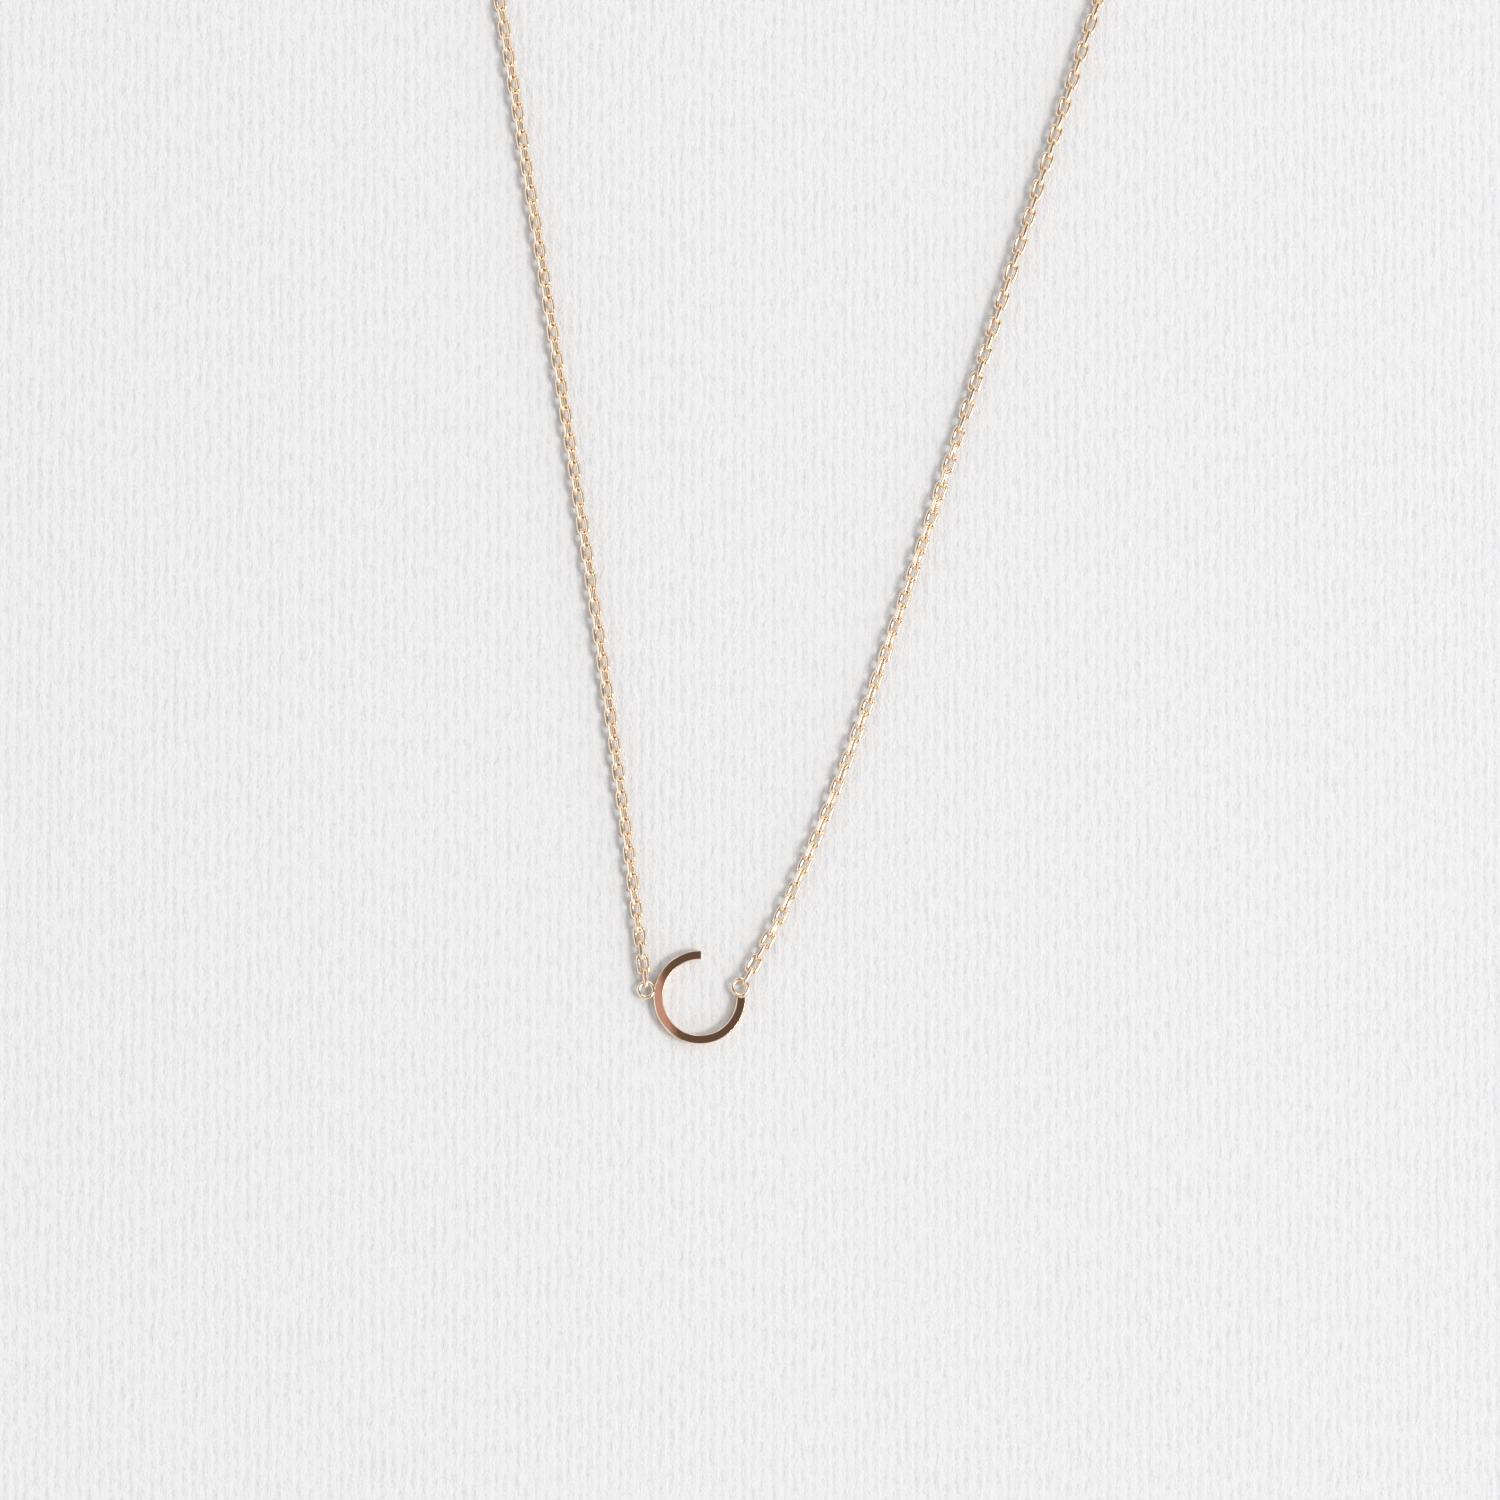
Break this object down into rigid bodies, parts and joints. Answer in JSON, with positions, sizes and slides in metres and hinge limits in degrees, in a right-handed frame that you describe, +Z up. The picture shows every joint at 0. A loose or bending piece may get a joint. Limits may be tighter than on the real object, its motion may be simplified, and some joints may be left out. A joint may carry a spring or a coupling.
{
  "type": "pendant necklace",
  "caption": "Open ring pendant between two strands of fine cable chain, with a spring ring clasp, laid out flat and unfastened.",
  "frame": {"origin": "the pendant's flat back face, at the bottom of the open ring, on the table plane", "axes": "+Y from the pendant towards the clasp, along the necklace's length; +Z up out of the table, square to the pendant's face; +X to the right seen from above"},
  "size_m": [0.0667, 0.1706, 0.0023],
  "materials": {
    "pendant_gold": "mirror-polished rose gold",
    "loop_gold": "polished pale rose gold wire",
    "chain_gold": "diamond-cut pale rose gold wire",
    "clasp_gold": "polished pale rose gold",
    "spring_steel": "bright drawn spring wire"
  },
  "bodies": {
    "pendant": {"pendant_ring": "pendant_gold", "left_pendant_loop": "loop_gold", "right_pendant_loop": "loop_gold"},
    "left_run_01": {"left_run_01": "chain_gold"},
    "right_run_01": {"right_run_01": "chain_gold"},
    "left_run_02": {"left_run_02": "chain_gold"},
    "right_run_02": {"right_run_02": "chain_gold"},
    "left_run_03": {"left_run_03": "chain_gold"},
    "right_run_03": {"right_run_03": "chain_gold"},
    "left_run_04": {"left_run_04": "chain_gold"},
    "right_run_04": {"right_run_04": "chain_gold"},
    "left_run_05": {"left_run_05": "chain_gold"},
    "right_run_05": {"right_run_05": "chain_gold"},
    "left_run_06": {"left_run_06": "chain_gold"},
    "right_run_06": {"right_run_06": "chain_gold"},
    "left_run_07": {"left_run_07": "chain_gold"},
    "right_run_07": {"right_run_07": "chain_gold"},
    "left_run_08": {"left_run_08": "chain_gold"},
    "right_run_08": {"right_run_08": "chain_gold"},
    "left_run_09": {"left_run_09": "chain_gold"},
    "right_run_09": {"right_run_09": "chain_gold"},
    "left_run_10": {"left_run_10": "chain_gold"},
    "right_run_10": {"right_run_10": "chain_gold"},
    "left_run_11": {"left_run_11": "chain_gold"},
    "right_run_11": {"right_run_11": "chain_gold"},
    "left_run_12": {"left_run_12": "chain_gold"},
    "right_run_12": {"right_run_12": "chain_gold"},
    "left_run_13": {"left_run_13": "chain_gold"},
    "right_run_13": {"right_run_13": "chain_gold"},
    "left_run_14": {"left_run_14": "chain_gold"},
    "right_run_14": {"right_run_14": "chain_gold"},
    "left_run_15": {"left_run_15": "chain_gold"},
    "right_run_15": {"right_run_15": "chain_gold"},
    "left_run_16": {"left_run_16": "chain_gold"},
    "right_run_16": {"right_run_16": "chain_gold"},
    "left_run_17": {"left_run_17": "chain_gold"},
    "right_run_17": {"right_run_17": "chain_gold"},
    "left_run_18": {"left_run_18": "chain_gold"},
    "right_run_18": {"right_run_18": "chain_gold"},
    "left_run_19": {"left_run_19": "chain_gold"},
    "right_run_19": {"right_run_19": "chain_gold"},
    "left_run_20": {"left_run_20": "chain_gold"},
    "right_run_20": {"right_run_20": "chain_gold"},
    "left_run_21": {"left_run_21": "chain_gold"},
    "right_run_21": {"right_run_21": "chain_gold"},
    "left_run_22": {"left_run_22": "chain_gold"},
    "right_run_22": {"right_run_22": "chain_gold"},
    "left_run_23": {"left_run_23": "chain_gold"},
    "right_run_23": {"right_run_23": "chain_gold"},
    "left_run_24": {"left_run_24": "chain_gold"},
    "right_run_24": {"right_run_24": "chain_gold"},
    "clasp_jump_ring": {"clasp_jump_ring": "clasp_gold"},
    "clasp": {"clasp_eye": "clasp_gold", "clasp_tube": "clasp_gold", "clasp_spring": "spring_steel"},
    "clasp_bolt": {"clasp_bolt": "clasp_gold", "clasp_thumb_knob": "clasp_gold"},
    "end_jump_ring": {"end_jump_ring": "clasp_gold"},
    "end_ring": {"end_ring": "clasp_gold"}
  },
  "joints": [
    {"name": "turn_clasp_bolt", "type": "hinge", "parent": "clasp", "child": "clasp_bolt", "pos_m": [0.01348, 0.15964, 0.00066], "axis": [0.032, 0.0115, 0.9994], "range_deg": [0, 60], "deforming": ["clasp_spring"]},
    {"name": "swivel_clasp", "type": "hinge", "parent": "clasp_jump_ring", "child": "clasp", "pos_m": [0.01018, 0.15846, 0.00116], "axis": [0, 0, 1], "range_deg": [-60, 60]},
    {"name": "swivel_end_ring", "type": "hinge", "parent": "end_jump_ring", "child": "end_ring", "pos_m": [0.01946, 0.16781, 0.00116], "axis": [0, 0, 1], "range_deg": [-40, 40]},
    {"name": "jump_ring_hinge_left", "type": "hinge", "parent": "left_run_24", "child": "clasp_jump_ring", "pos_m": [0.00912, 0.15808, 0.00068], "axis": [-0.3379, 0.9412, 0], "range_deg": [-30, 60]},
    {"name": "jump_ring_hinge_right", "type": "hinge", "parent": "right_run_24", "child": "end_jump_ring", "pos_m": [0.02038, 0.16716, 0.00068], "axis": [-0.5844, -0.8114, 0], "range_deg": [-30, 60]},
    {"name": "hinge_01_left", "type": "hinge", "parent": "pendant", "child": "left_run_01", "pos_m": [-0.0055, 0.00568, 0.00068], "axis": [0.9918, 0.118, 0.049], "range_deg": [-60, 60]},
    {"name": "hinge_01_right", "type": "hinge", "parent": "pendant", "child": "right_run_01", "pos_m": [0.0046, 0.00594, 0.00068], "axis": [0.8479, -0.5273, 0.0553], "range_deg": [-60, 60]},
    {"name": "hinge_02_left", "type": "hinge", "parent": "left_run_01", "child": "left_run_02", "pos_m": [-0.00633, 0.0125, 0.00058], "axis": [-0.6107, -0.0777, 0.788], "range_deg": [-60, 60]},
    {"name": "hinge_02_right", "type": "hinge", "parent": "right_run_01", "child": "right_run_02", "pos_m": [0.0081, 0.01205, 0.00058], "axis": [-0.5489, 0.2788, 0.788], "range_deg": [-60, 60]},
    {"name": "hinge_03_left", "type": "hinge", "parent": "left_run_02", "child": "left_run_03", "pos_m": [-0.00722, 0.01933, 0.00058], "axis": [-0.781, -0.1047, -0.6157], "range_deg": [-60, 60]},
    {"name": "hinge_03_right", "type": "hinge", "parent": "right_run_02", "child": "right_run_03", "pos_m": [0.01113, 0.01844, 0.00058], "axis": [-0.7213, 0.3172, -0.6157], "range_deg": [-60, 60]},
    {"name": "hinge_04_left", "type": "hinge", "parent": "left_run_03", "child": "left_run_04", "pos_m": [-0.00815, 0.02615, 0.00058], "axis": [0.6097, 0.0853, -0.788], "range_deg": [-60, 60]},
    {"name": "hinge_04_right", "type": "hinge", "parent": "right_run_03", "child": "right_run_04", "pos_m": [0.01388, 0.025, 0.00058], "axis": [0.5721, -0.2274, -0.788], "range_deg": [-60, 60]},
    {"name": "hinge_05_left", "type": "hinge", "parent": "left_run_04", "child": "left_run_05", "pos_m": [-0.00912, 0.03299, 0.00058], "axis": [0.7799, 0.1129, 0.6157], "range_deg": [-60, 60]},
    {"name": "hinge_05_right", "type": "hinge", "parent": "right_run_04", "child": "right_run_05", "pos_m": [0.01645, 0.03166, 0.00058], "axis": [0.7388, -0.2741, 0.6157], "range_deg": [-60, 60]},
    {"name": "hinge_06_left", "type": "hinge", "parent": "left_run_05", "child": "left_run_06", "pos_m": [-0.01013, 0.03983, 0.00058], "axis": [-0.6089, -0.0907, 0.788], "range_deg": [-60, 60]},
    {"name": "hinge_06_right", "type": "hinge", "parent": "right_run_05", "child": "right_run_06", "pos_m": [0.01889, 0.0384, 0.00058], "axis": [-0.5803, 0.2055, 0.788], "range_deg": [-60, 60]},
    {"name": "hinge_07_left", "type": "hinge", "parent": "left_run_06", "child": "left_run_07", "pos_m": [-0.01116, 0.04667, 0.00058], "axis": [-0.779, -0.1187, -0.6157], "range_deg": [-60, 60]},
    {"name": "hinge_07_right", "type": "hinge", "parent": "right_run_06", "child": "right_run_07", "pos_m": [0.02127, 0.0452, 0.00058], "axis": [-0.7453, 0.256, -0.6157], "range_deg": [-60, 60]},
    {"name": "hinge_08_left", "type": "hinge", "parent": "left_run_07", "child": "left_run_08", "pos_m": [-0.01221, 0.05352, 0.00058], "axis": [0.6084, 0.0945, -0.788], "range_deg": [-60, 60]},
    {"name": "hinge_08_right", "type": "hinge", "parent": "right_run_07", "child": "right_run_08", "pos_m": [0.02359, 0.05204, 0.00058], "axis": [0.5789, -0.1949, -0.7917], "range_deg": [-60, 60]},
    {"name": "hinge_09_left", "type": "hinge", "parent": "left_run_08", "child": "left_run_09", "pos_m": [-0.01328, 0.06037, 0.00058], "axis": [0.7784, 0.1228, 0.6157], "range_deg": [-60, 60]},
    {"name": "hinge_09_right", "type": "hinge", "parent": "right_run_08", "child": "right_run_09", "pos_m": [0.0259, 0.05892, 0.00062], "axis": [0.8575, -0.285, 0.4283], "range_deg": [-60, 60]},
    {"name": "hinge_10_left", "type": "hinge", "parent": "left_run_09", "child": "left_run_10", "pos_m": [-0.01437, 0.06723, 0.00058], "axis": [-0.6079, -0.0972, 0.788], "range_deg": [-60, 60]},
    {"name": "hinge_10_right", "type": "hinge", "parent": "right_run_09", "child": "right_run_10", "pos_m": [0.02819, 0.06585, 0.00067], "axis": [-0.1217, 0.0401, 0.9918], "range_deg": [-60, 0]},
    {"name": "hinge_11_left", "type": "hinge", "parent": "left_run_10", "child": "left_run_11", "pos_m": [-0.01548, 0.0741, 0.00058], "axis": [-0.7779, -0.1258, -0.6157], "range_deg": [-60, 60]},
    {"name": "hinge_11_right", "type": "hinge", "parent": "right_run_10", "child": "right_run_11", "pos_m": [0.03048, 0.0728, 0.00068], "axis": [-0.9502, 0.3116, 0], "range_deg": [-60, 60]},
    {"name": "hinge_12_left", "type": "hinge", "parent": "left_run_11", "child": "left_run_12", "pos_m": [-0.01659, 0.08098, 0.00058], "axis": [0.6076, 0.0991, -0.788], "range_deg": [-60, 60]},
    {"name": "hinge_12_right", "type": "hinge", "parent": "right_run_11", "child": "right_run_12", "pos_m": [0.03276, 0.07979, 0.00068], "axis": [0, 0, -1], "range_deg": [0, 60]},
    {"name": "hinge_13_left", "type": "hinge", "parent": "left_run_12", "child": "left_run_13", "pos_m": [-0.01772, 0.08786, 0.00058], "axis": [0.7776, 0.1278, 0.6157], "range_deg": [-60, 60]},
    {"name": "hinge_13_right", "type": "hinge", "parent": "right_run_12", "child": "right_run_13", "pos_m": [0.03506, 0.08681, 0.00068], "axis": [0.9507, -0.31, 0], "range_deg": [-60, 60]},
    {"name": "hinge_14_left", "type": "hinge", "parent": "left_run_13", "child": "left_run_14", "pos_m": [-0.01885, 0.09475, 0.00058], "axis": [-0.6074, -0.1005, 0.788], "range_deg": [-60, 60]},
    {"name": "hinge_14_right", "type": "hinge", "parent": "right_run_13", "child": "right_run_14", "pos_m": [0.03735, 0.09385, 0.00068], "axis": [0, 0, 1], "range_deg": [-60, 0]},
    {"name": "hinge_15_left", "type": "hinge", "parent": "left_run_14", "child": "left_run_15", "pos_m": [-0.02, 0.10165, 0.00058], "axis": [-0.7773, -0.1293, -0.6157], "range_deg": [-60, 60]},
    {"name": "hinge_15_right", "type": "hinge", "parent": "right_run_14", "child": "right_run_15", "pos_m": [0.03966, 0.10093, 0.00068], "axis": [-0.9509, 0.3094, 0], "range_deg": [-60, 60]},
    {"name": "hinge_16_left", "type": "hinge", "parent": "left_run_15", "child": "left_run_16", "pos_m": [-0.02115, 0.10856, 0.00058], "axis": [0.6098, 0.0845, -0.788], "range_deg": [-60, 60]},
    {"name": "hinge_16_right", "type": "hinge", "parent": "right_run_15", "child": "right_run_16", "pos_m": [0.04191, 0.10804, 0.00068], "axis": [0, 0, -1], "range_deg": [0, 60]},
    {"name": "hinge_17_left", "type": "hinge", "parent": "left_run_16", "child": "left_run_17", "pos_m": [-0.02164, 0.11553, 0.00058], "axis": [0.7881, -0.0132, 0.6155], "range_deg": [-60, 60]},
    {"name": "hinge_17_right", "type": "hinge", "parent": "right_run_16", "child": "right_run_17", "pos_m": [0.04336, 0.11534, 0.00068], "axis": [0.9929, -0.1194, 0], "range_deg": [-60, 60]},
    {"name": "hinge_18_left", "type": "hinge", "parent": "left_run_17", "child": "left_run_18", "pos_m": [-0.02105, 0.1225, 0.00061], "axis": [-0.4676, 0.081, 0.8802], "range_deg": [-60, 60]},
    {"name": "hinge_18_right", "type": "hinge", "parent": "right_run_17", "child": "right_run_18", "pos_m": [0.04381, 0.12277, 0.00068], "axis": [0, 0, 1], "range_deg": [-60, 0]},
    {"name": "hinge_19_left", "type": "hinge", "parent": "left_run_18", "child": "left_run_19", "pos_m": [-0.0194, 0.1293, 0.00067], "axis": [-0.9304, 0.3147, -0.1877], "range_deg": [-60, 60]},
    {"name": "hinge_19_right", "type": "hinge", "parent": "right_run_18", "child": "right_run_19", "pos_m": [0.04325, 0.13019, 0.00068], "axis": [-0.9882, -0.1529, 0], "range_deg": [-60, 60]},
    {"name": "hinge_20_left", "type": "hinge", "parent": "left_run_19", "child": "left_run_20", "pos_m": [-0.01672, 0.13576, 0.00068], "axis": [0.002, -0.001, -1], "range_deg": [-60, 60]},
    {"name": "hinge_20_right", "type": "hinge", "parent": "right_run_19", "child": "right_run_20", "pos_m": [0.04168, 0.13747, 0.00068], "axis": [0, 0, -1], "range_deg": [0, 60]},
    {"name": "hinge_21_left", "type": "hinge", "parent": "left_run_20", "child": "left_run_21", "pos_m": [-0.01307, 0.14173, 0.00068], "axis": [0.8046, -0.5939, 0], "range_deg": [-60, 60]},
    {"name": "hinge_21_right", "type": "hinge", "parent": "right_run_20", "child": "right_run_21", "pos_m": [0.03913, 0.14447, 0.00068], "axis": [0.9104, 0.4138, 0], "range_deg": [-60, 60]},
    {"name": "hinge_22_left", "type": "hinge", "parent": "left_run_21", "child": "left_run_22", "pos_m": [-0.00855, 0.14706, 0.00068], "axis": [0, 0, 1], "range_deg": [-60, 60]},
    {"name": "hinge_22_right", "type": "hinge", "parent": "right_run_21", "child": "right_run_22", "pos_m": [0.03565, 0.15105, 0.00068], "axis": [0, 0, 1], "range_deg": [-60, 0]},
    {"name": "hinge_23_left", "type": "hinge", "parent": "left_run_22", "child": "left_run_23", "pos_m": [-0.00325, 0.15164, 0.00068], "axis": [-0.5852, 0.8109, 0], "range_deg": [-60, 60]},
    {"name": "hinge_23_right", "type": "hinge", "parent": "right_run_22", "child": "right_run_23", "pos_m": [0.03131, 0.1571, 0.00068], "axis": [-0.765, -0.644, 0], "range_deg": [-60, 60]},
    {"name": "hinge_24_left", "type": "hinge", "parent": "left_run_23", "child": "left_run_24", "pos_m": [0.00268, 0.15534, 0.00068], "axis": [0, 0, -1], "range_deg": [-60, 60]},
    {"name": "hinge_24_right", "type": "hinge", "parent": "right_run_23", "child": "right_run_24", "pos_m": [0.02619, 0.1625, 0.00068], "axis": [0, 0, -1], "range_deg": [0, 60]}
  ]
}
